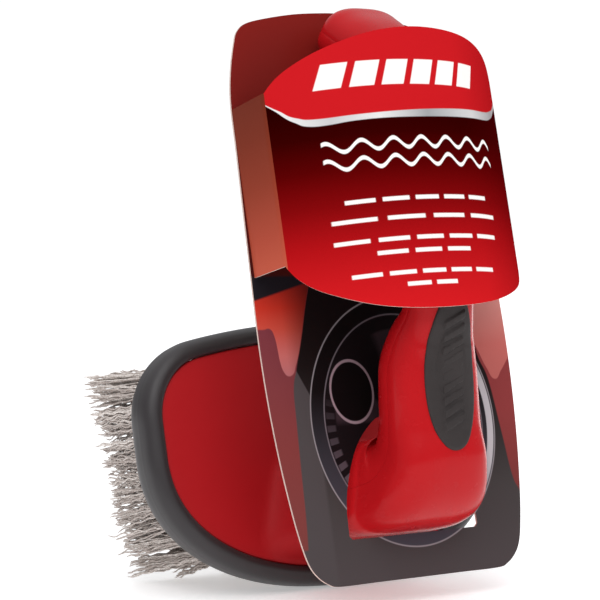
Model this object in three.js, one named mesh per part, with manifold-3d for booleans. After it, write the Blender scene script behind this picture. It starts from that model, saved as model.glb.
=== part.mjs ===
// A contoured wheel brush in its printed card sleeve.
//
// The brush is a D-shaped moulded head with a rubber bumper round its rim, a bristle block screwed into
// its back, and an open handle that leaves the nose of the head, turns up over the fingers and ends free.
// A card sleeve is threaded on the handle: a backer with a window for the neck, and a belt folded round
// the grip. The brush stands on the nose of the bumper and on the tips of its lowest bristles, so it
// leans back.
//
// Lengths are in millimetres. Everything is drawn upright in the brush's own frame and leaned back at the
// end. There, x is across the head, y is 0 on the head's front face and grows towards the bristle tips,
// and z is 0 at the lowest point of the nose and grows towards the free end of the handle.

import * as THREE from 'three';
import { mergeVertices } from 'three/addons/utils/BufferGeometryUtils.js';
import Module from 'manifold-3d';

const wasm = await Module();
wasm.setup();

// ---------------------------------------------------------------- driving dimensions
const LEAN_DEG = 13.4;          // how far the standing brush leans back
const GAP = 0.3;                // clearance between separate pieces
const SMALLEST_DETAIL = 0.03;   // slivers thinner than this are merged away

const HEAD_HALF_WIDTH = 84;
const HEAD_HEIGHT = 105;
const HEAD_WIDEST_Z = 55;       // height of the widest line of the head
const HEAD_CORNER = 32;         // radius of the two top corners
const HEAD_CROWN = 5;           // rise of the top edge from its corners to its middle
const NOSE_POWER = 2.2;         // how full the rounded nose is; 2 is an ellipse
const HEAD_DEPTH = 13;
const FRONT_WALL = 5;
const RIM_WALL = 5;

const BUMPER_WIDTH = 7.2;       // seen from the front
const BUMPER_DEPTH = 14.5;
const BUMPER_LIP = 1.6;         // how far it stands in front of the head's face
const FOOT_TRIM = 0.5;          // rubber flattened where the nose stands on the floor

const BLOCK_DEPTH = 11.5;
const ROW_COUNT = 12;
const ROW_THICK = 5.2;
const ROW_Z_LOW = 18.95;
const ROW_Z_HIGH = 88.5;
const ROW_INSET = 13;           // from the head's outline to the ends of the rows
const TIP_Y_MIDDLE = 51;        // the brush face is hollow: short in the middle, long at both ends
const TIP_Y_NOSE = 57.5;
const TIP_Y_TOP = 58.5;
const ROW_TILT = 0.1;           // outward lean of the first and last row, per millimetre of length
const TIP_SPLAY = { middle: 0.1, nose: 0.36, top: 0.12 };  // outward lean of the row ends, per millimetre

const NECK_JOINT_Y = -20;       // where the handle meets the neck of the head
const NECK_SOLID = 14;          // length of the handle's end that is solid, for its screws
const SHELL_WALL = 2.6;
// Centre line of the handle: y, z, half width, half thickness, fullness of the section (2 is an oval,
// more is squarer) and taper (the outer side is wider than the finger side by this share of the width).
const HANDLE_LINE = [
  [-20.3, 33.2, 26.2, 18.6, 4.4, 0.20],
  [-33.0, 33.2, 25.8, 18.6, 4.4, 0.20],
  [-45.0, 33.4, 25.2, 18.5, 4.3, 0.19],
  [-54.0, 35.2, 23.0, 18.0, 3.8, 0.13],
  [-59.8, 41.4, 20.6, 16.6, 3.2, 0.06],
  [-63.2, 52.0, 19.8, 14.0, 2.7, 0.00],
  [-65.2, 64.0, 19.7, 13.5, 2.6, 0.00],
  [-67.4, 75.0, 19.2, 13.1, 2.6, 0.00],
  [-71.6, 84.0, 17.2, 11.8, 2.5, 0.00],
  [-76.8, 91.5, 14.8, 9.6, 2.4, 0.00],
  [-81.0, 100.0, 13.6, 7.6, 2.4, 0.00],
  [-83.2, 112.0, 13.4, 7.0, 2.4, 0.00],
  [-84.0, 132.0, 13.4, 7.2, 2.4, 0.00],
  [-82.8, 154.0, 14.2, 8.0, 2.4, -0.04],
  [-79.0, 173.0, 15.6, 9.2, 2.4, -0.10],
  [-72.4, 187.8, 16.8, 10.0, 2.5, -0.10],
  [-64.8, 198.4, 17.6, 10.4, 2.7, -0.10],
  [-57.0, 205.4, 18.0, 10.4, 2.9, -0.10],
];
const TAIL_DOME = 9;            // length of the rounded free end beyond the centre line
const SECTION_POINTS = 32;

const PAD_Z = 70;
const PAD_HALF_HEIGHT = 29;
const PAD_HALF_WIDTH = 11.4;
const PAD_PROUD = 0.9;
const PAD_SUNK = 1.2;

const CARD = 0.8;               // thickness of the card
const BACKER_Y = -45;
// Right half of the window that the neck passes through, from its foot up over the neck's shoulder.
const WINDOW_HALF = [
  [0, 14.2], [29.6, 14.2], [30.9, 15.4], [30.6, 24], [29.5, 30.4], [27.6, 36.6], [25.4, 42], [22.8, 47],
  [19.6, 51.4], [15.8, 55.1], [11.3, 58.4], [6, 59.8], [0, 60],
];
const BELT_Y = -66;             // the creases between the side strips and the flap
const BELT_LEFT_X = -57.5;
const BELT_RIGHT_X = 52.8;
const FLAP_BULGE = 27;          // how far the flap stands out over the grip
const FLAP_POWER = 2.2;
const STRIP_LOW = 113.5;
const STRIP_HIGH = 177.5;
// The flap's top and bottom edges, x and z, from the left crease to the right one.
const FLAP_TOP = [
  [-58, 175], [-56.6, 179], [-51, 185], [-40, 191], [-24, 195.8], [-8, 197.8], [8, 197.6], [26, 195.8],
  [40.2, 192.2], [48.4, 187], [53.3, 178.6],
];
const FLAP_BOTTOM = [
  [-58, 113.5], [-54.7, 107.4], [-48.4, 101.6], [-36, 95.6], [-22, 92.6], [-4, 92], [14, 93.6], [30, 97.6],
  [44.4, 103.5], [53.3, 111.5],
];

const SCREW_PLACES = [[-52, 62], [0, 86], [52, 62], [-36, 26], [36, 26], [0, 56]];
const NECK_SCREW_PLACES = [[0, 22.5], [0, 40]];

// ---------------------------------------------------------------- materials
function material(hex, roughness, metalness = 0) {
  return new THREE.MeshStandardMaterial({ color: hex, roughness, metalness });
}
const RED = material(0xc41c22, 0.35);
const RUBBER = material(0x35302f, 0.75);
const BLOCK = material(0x241f1f, 0.6);
const BRISTLE = material(0xc3bab6, 0.8);
const CARD_PRINT = material(0xa81f22, 0.4);
const CARD_DARK = material(0x3a3435, 0.45);
const STEEL = material(0x9a9da0, 0.35, 0.9);

// ---------------------------------------------------------------- mesh helpers
function bodyFrom(positions, faces) {
  const geometry = new THREE.BufferGeometry();
  geometry.setAttribute('position', new THREE.Float32BufferAttribute(positions.flat(), 3));
  geometry.setIndex(faces.flat());
  return outward(geometry);
}

// Turns the faces round if the body is inside out.
function outward(geometry) {
  const p = geometry.attributes.position;
  const index = geometry.index.array;
  const corner = [new THREE.Vector3(), new THREE.Vector3(), new THREE.Vector3()];
  let volume = 0;
  for (let i = 0; i < index.length; i += 3) {
    corner.forEach((v, k) => v.fromBufferAttribute(p, index[i + k]));
    volume += corner[0].dot(corner[1].clone().cross(corner[2]));
  }
  if (volume < 0) {
    for (let i = 0; i < index.length; i += 3) {
      [index[i], index[i + 1]] = [index[i + 1], index[i]];
    }
  }
  return geometry;
}

// Skins a list of rings, each a list of the same number of [x, y, z] points, and closes both ends.
function loft(rings) {
  const count = rings[0].length;
  const positions = rings.flat();
  const faces = [];
  for (let r = 0; r + 1 < rings.length; r += 1) {
    for (let i = 0; i < count; i += 1) {
      const a = r * count + i;
      const b = r * count + (i + 1) % count;
      faces.push([a, b, b + count], [a, b + count, a + count]);
    }
  }
  const last = (rings.length - 1) * count;
  for (const [ring, start, flip] of [[rings[0], 0, true], [rings.at(-1), last, false]]) {
    const centre = [0, 1, 2].map((k) => ring.reduce((sum, point) => sum + point[k], 0) / count);
    const hub = positions.push(centre) - 1;
    for (let i = 0; i < count; i += 1) {
      const a = start + i;
      const b = start + (i + 1) % count;
      faces.push(flip ? [b, a, hub] : [a, b, hub]);
    }
  }
  return bodyFrom(positions, faces);
}

// Skins a closed chain of rings, such as a tube that comes back to its own start.
function loop(rings) {
  const count = rings[0].length;
  const faces = [];
  for (let r = 0; r < rings.length; r += 1) {
    const next = ((r + 1) % rings.length) * count;
    for (let i = 0; i < count; i += 1) {
      const j = (i + 1) % count;
      faces.push([r * count + i, r * count + j, next + j], [r * count + i, next + j, next + i]);
    }
  }
  return bodyFrom(rings.flat(), faces);
}

function solid(geometry) {
  const bare = geometry.clone();
  bare.deleteAttribute('normal');
  bare.deleteAttribute('uv');
  const merged = mergeVertices(bare, 1e-4);
  return new wasm.Manifold(new wasm.Mesh({
    numProp: 3,
    vertProperties: new Float32Array(merged.attributes.position.array),
    triVerts: new Uint32Array(merged.index.array),
  }));
}

// The one large body of a cut shape, without the crumbs that a cut can leave.
function mainBody(manifold) {
  return manifold.decompose().reduce((best, part) => (part.volume() > best.volume() ? part : best));
}

function geometryOf(manifold) {
  const shape = mainBody(manifold.simplify(SMALLEST_DETAIL)).getMesh();
  const geometry = new THREE.BufferGeometry();
  geometry.setAttribute('position', new THREE.Float32BufferAttribute(shape.vertProperties, 3));
  geometry.setIndex(new THREE.Uint32BufferAttribute(shape.triVerts, 1));
  return geometry;
}

// An outline in x and z, given depth along y from yFront to yBack.
function plateSolid(outline, yFront, yBack, holes = []) {
  const shape = new THREE.Shape(outline.map(([x, z]) => new THREE.Vector2(x, z)));
  holes.forEach((hole) => shape.holes.push(new THREE.Path(hole.map(([x, z]) => new THREE.Vector2(x, z)))));
  const geometry = new THREE.ExtrudeGeometry(shape, { depth: yBack - yFront, bevelEnabled: false });
  geometry.rotateX(Math.PI / 2);
  geometry.translate(0, yBack, 0);
  return solid(geometry);
}

// A round bar along y.
function bar(x, z, radius, yFront, yBack, segments = 20) {
  const geometry = new THREE.CylinderGeometry(radius, radius, yBack - yFront, segments);
  geometry.translate(x, (yFront + yBack) / 2, 0);
  geometry.translate(0, 0, z);
  return solid(geometry);
}

// ---------------------------------------------------------------- outlines
// The head's outline, anticlockwise from the nose, drawn in by inset along its own normal.
function headOutline(inset, steps = 22) {
  const right = [];
  for (let i = 0; i <= steps; i += 1) {
    const t = (i / steps) * Math.PI / 2;
    right.push([
      HEAD_HALF_WIDTH * Math.sin(t) ** (2 / NOSE_POWER),
      HEAD_WIDEST_Z - HEAD_WIDEST_Z * Math.cos(t) ** (2 / NOSE_POWER),
    ]);
  }
  const cornerX = HEAD_HALF_WIDTH - HEAD_CORNER;
  const cornerZ = HEAD_HEIGHT - HEAD_CROWN - HEAD_CORNER;
  const tilt = Math.atan2(2 * HEAD_CROWN, cornerX);
  for (let i = 0; i <= 12; i += 1) {
    const t = (i / 12) * (Math.PI / 2 - tilt);
    right.push([cornerX + HEAD_CORNER * Math.cos(t), cornerZ + HEAD_CORNER * Math.sin(t)]);
  }
  const [endX, endZ] = right.at(-1);
  for (let i = 1; i <= 5; i += 1) {
    const x = endX * (1 - i / 5);
    right.push([x, HEAD_HEIGHT - (HEAD_HEIGHT - endZ) * (x / endX) ** 2]);
  }
  const left = right.slice(1, -1).reverse().map(([x, z]) => [-x, z]);
  return drawnIn([...right, ...left], inset);
}

// Moves each point of a closed anticlockwise outline inwards.
function drawnIn(outline, inset) {
  const count = outline.length;
  return outline.map(([x, z], i) => {
    const before = outline[(i + count - 1) % count];
    const after = outline[(i + 1) % count];
    const length = Math.hypot(after[0] - before[0], after[1] - before[1]);
    return [
      x - inset * (after[1] - before[1]) / length,
      z + inset * (after[0] - before[0]) / length,
    ];
  });
}

// The half width of the head's outline at height z, less an inset.
function headHalfWidth(z, inset) {
  const outline = headOutline(inset, 40).filter(([x]) => x >= 0);
  let best = 0;
  for (let i = 0; i + 1 < outline.length; i += 1) {
    const [x0, z0] = outline[i];
    const [x1, z1] = outline[i + 1];
    if ((z0 - z) * (z1 - z) <= 0 && z0 !== z1) {
      best = Math.max(best, x0 + (x1 - x0) * (z - z0) / (z1 - z0));
    }
  }
  return best;
}

function mirrored(half) {
  return [...half, ...half.slice().reverse().filter(([x]) => x > 0).map(([x, z]) => [-x, z])];
}

// ---------------------------------------------------------------- head
// A flared tube of oval rings between two stations [y, z, halfWidth, halfHeight].
function neckLoft(stations) {
  const [, , , , power, taper] = HANDLE_LINE[0];
  return loft(stations.map(([y, z, halfWidth, halfHeight]) => ovalPoints(halfWidth, halfHeight, power, taper)
    .map(([x, down]) => [x, y, z - down])));
}

// Points [x, n] of a section, where n grows towards the outer side.
function ovalPoints(halfWidth, halfThick, power, taper) {
  const points = [];
  for (let i = 0; i < SECTION_POINTS; i += 1) {
    const t = (i / SECTION_POINTS) * Math.PI * 2;
    const c = Math.cos(t);
    const s = Math.sin(t);
    const across = Math.sign(c) * Math.abs(c) ** (2 / power);
    const outer = Math.sign(s) * Math.abs(s) ** (2 / power);
    points.push([halfWidth * (1 + taper * outer) * across, halfThick * outer]);
  }
  return points;
}

function headPlate() {
  const shell = plateSolid(headOutline(BUMPER_WIDTH + GAP), 0, HEAD_DEPTH);
  const pocket = plateSolid(headOutline(BUMPER_WIDTH + RIM_WALL), FRONT_WALL, HEAD_DEPTH + 1);
  const [, neckZ, neckWidth, neckHeight] = HANDLE_LINE[0];
  const neck = solid(neckLoft([
    [FRONT_WALL - 1, neckZ + 1, neckWidth + 12, neckHeight + 5],
    [0, neckZ + 1, neckWidth + 8, neckHeight + 4],
    [-5, neckZ + 0.4, neckWidth + 4, neckHeight + 2],
    [-11, neckZ + 0.1, neckWidth + 1.4, neckHeight + 0.7],
    [NECK_JOINT_Y, neckZ, neckWidth, neckHeight],
  ]));
  let plate = shell.subtract(pocket).add(neck);
  for (const [x, z] of SCREW_PLACES) {
    plate = plate.subtract(bar(x, z, 1.75, 1.6, FRONT_WALL + 1));
  }
  for (const [x, z] of NECK_SCREW_PLACES) {
    plate = plate.subtract(bar(x, z, 2.3, NECK_JOINT_Y - 1, FRONT_WALL + 1));
    plate = plate.subtract(bar(x, z, 4.4, FRONT_WALL - 3, FRONT_WALL + 1));
  }
  return plate;
}

// The bumper is one rubber ring. Its section is given as [inset from the outline, y].
function rubberBumper() {
  const section = [
    [BUMPER_WIDTH, -0.4], [BUMPER_WIDTH - 1.2, -BUMPER_LIP], [BUMPER_WIDTH - 3.2, -BUMPER_LIP - 0.3],
    [2.2, -BUMPER_LIP + 0.6], [0.7, 0.6], [0, 3.4], [0, 7.2], [0.5, 10.4], [1.6, BUMPER_DEPTH - 1.6],
    [3.2, BUMPER_DEPTH - 0.3], [BUMPER_WIDTH - 1.5, BUMPER_DEPTH - 0.3], [BUMPER_WIDTH, BUMPER_DEPTH - 1.4],
  ];
  const rails = section.map(([inset, y]) => headOutline(inset).map(([x, z]) => [x, y, z]));
  const rings = rails[0].map((_, i) => rails.map((rail) => rail[i]));
  return solid(loop(rings));
}

function bristleBlock() {
  const outline = headOutline(BUMPER_WIDTH + RIM_WALL + GAP);
  let block = plateSolid(outline, FRONT_WALL + GAP, FRONT_WALL + GAP + BLOCK_DEPTH);
  for (const [x, z] of SCREW_PLACES) {
    block = block.subtract(bar(x, z, 1.9, FRONT_WALL - 1, FRONT_WALL + BLOCK_DEPTH + 2));
    block = block.subtract(bar(x, z, 3.9, FRONT_WALL + BLOCK_DEPTH - 2.4, FRONT_WALL + BLOCK_DEPTH + 2));
  }
  for (const [x, z] of NECK_SCREW_PLACES) {
    block = block.subtract(bar(x, z, 4.4, FRONT_WALL - 1, FRONT_WALL + 1.2));
  }
  return block;
}

function screw(x, z, headY, headRadius, shankRadius, length) {
  const half = [
    [0, -length], [shankRadius * 0.5, -length], [shankRadius, -length + 1.5], [shankRadius, 0],
    [headRadius, 0], [headRadius, 1.2], [headRadius * 0.7, 1.9], [0, 2],
  ];
  const geometry = new THREE.LatheGeometry(half.map(([r, y]) => new THREE.Vector2(r, y)), 20);
  geometry.translate(x, headY, 0);
  geometry.translate(0, 0, z);
  return solid(geometry);
}

// One row of bristles, with the hollow of the brush face in its tips and an outward splay at its ends.
function bristleRow(index) {
  const share = index / (ROW_COUNT - 1);
  const z = ROW_Z_LOW + (ROW_Z_HIGH - ROW_Z_LOW) * share;
  const rootY = FRONT_WALL + GAP + BLOCK_DEPTH + GAP;
  const fromMiddle = share * 2 - 1;
  const endY = fromMiddle < 0 ? TIP_Y_NOSE : TIP_Y_TOP;
  const tipY = TIP_Y_MIDDLE + (endY - TIP_Y_MIDDLE) * fromMiddle ** 2;
  const reach = Math.min(
    headHalfWidth(z - ROW_THICK / 2, ROW_INSET),
    headHalfWidth(z + ROW_THICK / 2, ROW_INSET),
  );
  const endSplay = fromMiddle < 0 ? TIP_SPLAY.nose : TIP_SPLAY.top;
  const splay = TIP_SPLAY.middle + (endSplay - TIP_SPLAY.middle) * fromMiddle ** 2;
  const tipReach = reach + splay * (tipY - rootY);
  const outline = [[-reach, rootY], [reach, rootY]];
  for (let i = 0; i <= 12; i += 1) {
    const across = 1 - i / 6;
    outline.push([tipReach * across, tipY + 2.5 * (across ** 2 - 1) * (1 - Math.abs(fromMiddle))]);
  }
  const geometry = new THREE.ExtrudeGeometry(
    new THREE.Shape(outline.map(([x, y]) => new THREE.Vector2(x, y))),
    { depth: ROW_THICK, bevelEnabled: false },
  );
  geometry.translate(0, 0, z - ROW_THICK / 2);
  const p = geometry.attributes.position;
  const tilt = ROW_TILT * fromMiddle;
  for (let i = 0; i < p.count; i += 1) {
    p.setZ(i, p.getZ(i) + tilt * (p.getY(i) - rootY));
  }
  return solid(geometry);
}

// ---------------------------------------------------------------- handle
const handleCurve = new THREE.CatmullRomCurve3(
  HANDLE_LINE.map(([y, z]) => new THREE.Vector3(0, y, z)), false, 'centripetal',
);

// A smooth size along the handle, read from one column of its table.
function handleSize(u, column) {
  const place = u * (HANDLE_LINE.length - 1);
  const i = Math.min(Math.floor(place), HANDLE_LINE.length - 2);
  const at = (k) => HANDLE_LINE[THREE.MathUtils.clamp(k, 0, HANDLE_LINE.length - 1)][column];
  const f = place - i;
  const [a, b, c, d] = [at(i - 1), at(i), at(i + 1), at(i + 2)];
  return b + 0.5 * f * (c - a + f * (2 * a - 5 * b + 4 * c - d + f * (3 * (b - c) + d - a)));
}

// Rings of the handle from its joint to its rounded free end. grow thickens the section all round,
// from and to leave out a length at either end, and points gives the ring's own section points.
function handleRings(grow, from, to, points = ovalPoints) {
  const steps = 34;
  const total = handleCurve.getLength();
  const rings = [];
  const ring = (centre, tangent, halfWidth, halfThick, power, taper) => {
    rings.push(points(halfWidth, halfThick, power, taper)
      .map(([x, outer]) => [x, centre.y - outer * tangent.z, centre.z + outer * tangent.y]));
  };
  for (let i = 0; i <= steps; i += 1) {
    const u = from / total + (1 - from / total) * (i / steps);
    const [halfWidth, halfThick, power, taper] = [2, 3, 4, 5].map((column) => handleSize(u, column));
    ring(handleCurve.getPoint(u), handleCurve.getTangent(u),
      halfWidth + grow, halfThick + grow, power, taper);
  }
  const end = handleCurve.getPoint(1);
  const tangent = handleCurve.getTangent(1);
  const [, , lastWidth, lastThick, lastPower, lastTaper] = HANDLE_LINE.at(-1);
  const dome = TAIL_DOME + to;
  for (const t of [0.2, 0.4, 0.58, 0.74, 0.86, 0.94, 0.985]) {
    const shrink = (1 - t ** 2.8) ** 0.46;
    ring(end.clone().addScaledVector(tangent, dome * t), tangent,
      (lastWidth + grow) * shrink, (lastThick + grow) * shrink, lastPower, lastTaper);
  }
  return rings;
}

// The side of the handle beyond its middle surface: side 1 is the outer face, -1 the finger side.
function handleSide(side) {
  const reach = 19;
  const slab = () => [
    [-45, side * GAP / 2], [45, side * GAP / 2], [45, side * reach], [-45, side * reach],
  ];
  return solid(loft(handleRings(0, 0, 8, slab)));
}

function handleParts() {
  const full = solid(loft(handleRings(0, 0, 0)));
  const hollow = solid(loft(handleRings(-SHELL_WALL, NECK_SOLID, -SHELL_WALL)));
  const shell = full.subtract(hollow);
  const oval = (extra, low, high) => plateSolid(padOutline(extra), low, high);
  const sink = solid(loft(handleRings(3, 0, 0)))
    .subtract(solid(loft(handleRings(-PAD_SUNK, 0, 0))))
    .intersect(oval(GAP, -130, BELT_Y));
  let outer = shell.intersect(handleSide(1)).subtract(sink);
  let inner = shell.intersect(handleSide(-1));
  const pad = solid(loft(handleRings(PAD_PROUD, 0, 0)))
    .subtract(solid(loft(handleRings(GAP - PAD_SUNK, 0, 0))))
    .intersect(oval(0, -130, BELT_Y))
    .intersect(handleSide(1).translate([0, -1, 0]));
  outer = outer.subtract(bar(...NECK_SCREW_PLACES[0], 1.9, NECK_JOINT_Y - NECK_SOLID - 2, NECK_JOINT_Y + 1));
  inner = inner.subtract(bar(...NECK_SCREW_PLACES[1], 1.9, NECK_JOINT_Y - NECK_SOLID - 2, NECK_JOINT_Y + 1));
  return { outer, inner, pad };
}

// An egg-shaped oval, widest a little below its middle.
function padOutline(extra) {
  const points = [];
  for (let i = 0; i < 40; i += 1) {
    const t = (i / 40) * Math.PI * 2;
    const width = (PAD_HALF_WIDTH + extra) * (1 - 0.1 * Math.sin(t));
    const c = Math.cos(t);
    points.push([
      Math.sign(c) * width * Math.abs(c) ** 0.92,
      PAD_Z + (PAD_HALF_HEIGHT + extra) * Math.sin(t),
    ]);
  }
  return points;
}

// ---------------------------------------------------------------- card sleeve
function cardBacker() {
  const half = [
    [0, -2.4], [38, -2.4], [43, -1.2], [47.5, 2], [50.6, 6.5], [52.8, 14], [55, 26], [57.4, 45], [59, 66],
    [59.6, 88], [59.2, 110], [58, 160], [57.6, 180], [55.6, 193], [52.4, 204], [50.4, 208.4], [46, 211.8],
    [36, 214.4], [22, 216.8], [8, 218], [0, 218.2],
  ];
  return plateSolid(mirrored(half), BACKER_Y - CARD / 2, BACKER_Y + CARD / 2, [mirrored(WINDOW_HALF)]);
}

// A flat strip of card from one [x, y] to another, standing upright between two heights.
function uprightStrip([x0, y0], [x1, y1], low, high) {
  const length = Math.hypot(x1 - x0, y1 - y0);
  const geometry = new THREE.BoxGeometry(length, CARD, high - low);
  geometry.rotateZ(Math.atan2(y1 - y0, x1 - x0));
  geometry.translate((x0 + x1) / 2, (y0 + y1) / 2, (low + high) / 2);
  return solid(geometry);
}

function flapY(x) {
  const reach = x < 0 ? -BELT_LEFT_X : BELT_RIGHT_X;
  return BELT_Y - FLAP_BULGE * (1 - Math.abs(x / reach) ** FLAP_POWER);
}

// The flap is bent one way only, so it is a ribbon of the same section cut to arched edges.
function frontFlap() {
  const middle = [];
  const steps = 40;
  for (let i = 0; i <= steps; i += 1) {
    const x = BELT_LEFT_X + 0.4 + (BELT_RIGHT_X - BELT_LEFT_X - 0.8) * (i / steps);
    middle.push([x, flapY(x)]);
  }
  const offset = (side) => middle.map(([x, y], i) => {
    const a = middle[Math.max(i - 1, 0)];
    const b = middle[Math.min(i + 1, steps)];
    const length = Math.hypot(b[0] - a[0], b[1] - a[1]);
    return [x - side * (CARD / 2) * (b[1] - a[1]) / length, y + side * (CARD / 2) * (b[0] - a[0]) / length];
  });
  const ribbon = new THREE.Shape([...offset(-1), ...offset(1).reverse()]
    .map(([x, y]) => new THREE.Vector2(x, y)));
  const geometry = new THREE.ExtrudeGeometry(ribbon, { depth: 140, bevelEnabled: false });
  geometry.translate(0, 0, 80);
  const smooth = (table) => new THREE.SplineCurve(table.map(([x, z]) => new THREE.Vector2(x, z)))
    .getPoints(30).map((point) => [point.x, point.y]);
  const edge = [
    [-62, 113.5], ...smooth(FLAP_BOTTOM), [56, 111.5],
    [56, 178], ...smooth(FLAP_TOP).reverse(), [-62, 175],
  ];
  return solid(geometry).intersect(plateSolid(edge, -120, BELT_Y + 5));
}

// ---------------------------------------------------------------- assembly
const pieces = [];
function add(name, manifold, surface) {
  pieces.push([name, manifold, surface]);
}

const lean = THREE.MathUtils.degToRad(LEAN_DEG);
const leanMatrix = new THREE.Matrix4().makeRotationX(-lean);
function lowest(manifold) {
  return manifold.rotate([-LEAN_DEG, 0, 0]).boundingBox().min[2];
}

const bumperFull = rubberBumper();
const floorLevel = lowest(bumperFull) + FOOT_TRIM;
// Everything under the floor, drawn in the upright frame, trims the foot of the bumper flat.
const underFloor = wasm.Manifold.cube([400, 400, 100], true)
  .translate([0, 0, floorLevel - 50])
  .rotate([LEAN_DEG, 0, 0]);

add('head_plate', headPlate(), RED);
add('rubber_bumper', bumperFull.subtract(underFloor), RUBBER);
add('bristle_block', bristleBlock(), BLOCK);
for (let i = 0; i < ROW_COUNT; i += 1) {
  add(`bristle_row_${String(i + 1).padStart(2, '0')}`, bristleRow(i), BRISTLE);
}
SCREW_PLACES.forEach(([x, z], i) => {
  add(`block_screw_${i + 1}`, screw(x, z, FRONT_WALL + BLOCK_DEPTH - 2.2, 3.5, 1.5, 11.5), STEEL);
});
NECK_SCREW_PLACES.forEach(([x, z], i) => {
  add(`neck_screw_${i + 1}`, screw(x, z, FRONT_WALL - 2.8, 4, 1.7, 33), STEEL);
});

const handle = handleParts();
add('handle_outer_shell', handle.outer, RED);
add('handle_inner_cover', handle.inner, RED);
add('grip_pad', handle.pad, RUBBER);

add('card_backer', cardBacker(), CARD_DARK);
const foldY = BACKER_Y - CARD / 2 - GAP;
const creaseY = BELT_Y + GAP + CARD / 2;
add('card_left_strip', uprightStrip([-57.6, foldY], [BELT_LEFT_X, creaseY], STRIP_LOW, STRIP_HIGH),
  CARD_PRINT);
add('card_right_strip', uprightStrip([57.4, foldY - 0.2], [BELT_RIGHT_X + 0.6, creaseY + 0.4],
  STRIP_LOW, STRIP_HIGH - 2), CARD_PRINT);
add('card_front_flap', frontFlap(), CARD_PRINT);
add('card_glue_tab', plateSolid([[42, 118], [57.4, 114.5], [57, 175], [42, 172]],
  BACKER_Y + CARD / 2 + GAP, BACKER_Y + 1.5 * CARD + GAP), CARD_PRINT);

// Leans the pieces back, stands them on z = 0 and centres their footprint on the origin.
const box = new THREE.Box3();
const meshes = pieces.map(([name, manifold, surface]) => {
  const geometry = geometryOf(manifold).applyMatrix4(leanMatrix);
  geometry.computeVertexNormals();
  geometry.computeBoundingBox();
  box.union(geometry.boundingBox);
  const mesh = new THREE.Mesh(geometry, surface);
  mesh.name = name;
  return mesh;
});
const centre = box.getCenter(new THREE.Vector3());
const wheelBrush = new THREE.Group();
wheelBrush.name = 'wheel_brush';
for (const mesh of meshes) {
  mesh.geometry.translate(-centre.x, -centre.y, -box.min.z);
  wheelBrush.add(mesh);
}

export default wheelBrush;
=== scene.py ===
"""A contoured wheel brush in its printed card sleeve, dressed for rendering over its CAD frame.

Shapes are drawn in the brush's own upright frame, in millimetres: x is across the head, y is 0 on the
head's front face and grows towards the bristle tips, and z is 0 at the nose. to_world() leans them back
and puts them where the frame has them, in metres.
"""

import math

import bpy
import numpy as np
from mathutils import Matrix, Vector
from mathutils.bvhtree import BVHTree
from mathutils.geometry import tessellate_polygon


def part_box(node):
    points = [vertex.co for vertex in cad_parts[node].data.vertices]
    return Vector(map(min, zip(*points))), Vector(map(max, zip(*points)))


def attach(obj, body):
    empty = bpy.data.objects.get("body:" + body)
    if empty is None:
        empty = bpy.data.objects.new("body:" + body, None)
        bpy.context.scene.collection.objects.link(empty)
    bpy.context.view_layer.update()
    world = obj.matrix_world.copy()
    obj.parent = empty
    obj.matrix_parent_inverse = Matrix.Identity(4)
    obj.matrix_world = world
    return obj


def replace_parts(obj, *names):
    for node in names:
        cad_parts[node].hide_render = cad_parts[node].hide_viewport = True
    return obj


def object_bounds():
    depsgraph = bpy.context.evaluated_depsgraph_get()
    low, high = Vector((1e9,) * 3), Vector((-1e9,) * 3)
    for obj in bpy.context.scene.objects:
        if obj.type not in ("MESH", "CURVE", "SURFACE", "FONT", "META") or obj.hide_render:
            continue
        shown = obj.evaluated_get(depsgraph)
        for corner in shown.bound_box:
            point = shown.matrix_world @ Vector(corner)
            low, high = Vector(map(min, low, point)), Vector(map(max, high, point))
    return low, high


MM = 0.001

# ------------------------------------------------------------------ driving dimensions, millimetres
LEAN = math.radians(13.4)
GAP = 0.3

HEAD_HALF_WIDTH = 84
HEAD_HEIGHT = 105
HEAD_WIDEST_Z = 55
HEAD_CORNER = 32
HEAD_CROWN = 5
NOSE_POWER = 2.2
HEAD_DEPTH = 13
FRONT_WALL = 5
RIM_WALL = 5

BUMPER_WIDTH = 7.2
# The bumper's section: inset from the outline, and y.
BUMPER_SECTION = [
    (7.2, -0.4), (6.2, -1.5), (4.4, -1.85), (2.2, -1.0), (0.7, 0.7), (0.1, 3.2), (0.1, 7.2), (0.5, 10.4),
    (1.6, 12.8), (3.4, 14.1), (5.6, 14.1), (7.1, 12.9), (7.2, 9.0), (7.2, 4.0),
]
PARTING_Y = 5.6                 # a fine moulding line round the bumper
PARTING_PROUD = 0.16
PARTING_SPREAD = 0.3

BLOCK_DEPTH = 11.5
ROOT_Y = FRONT_WALL + GAP + BLOCK_DEPTH
ROW_COUNT = 12
ROW_Z_LOW = 18.95
ROW_Z_HIGH = 88.5
ROW_INSET = 13
TIP_Y = {"middle": 51, "nose": 57.5, "top": 58.5}
TIP_HOLLOW = 2.5
ROW_TILT = 0.1
TIP_SPLAY = {"middle": 0.1, "nose": 0.36, "top": 0.3}
TUFT_PITCH = 6.4
TUFT_RADIUS = 1.9
TUFT_FILAMENTS = 26
TUFT_CLUMPS = 4                 # bunches that a tuft's tips gather into
CLUMP_SPREAD = 1.5
ROOT_SUNK = 1                   # length of each filament inside the block
FILAMENT_RADIUS = 0.34
CRIMP_LENGTH = 7.4
CRIMP_HEIGHT = 0.5
FILAMENT_STEPS = 26
FILAMENT_SIDES = 4
TIP_CLEARANCE = 0.2             # from the ground to the lowest tips

NECK_JOINT_Y = -20
FILLET = (10, 5)                # reach of the flare between plate and neck, across and up
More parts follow.
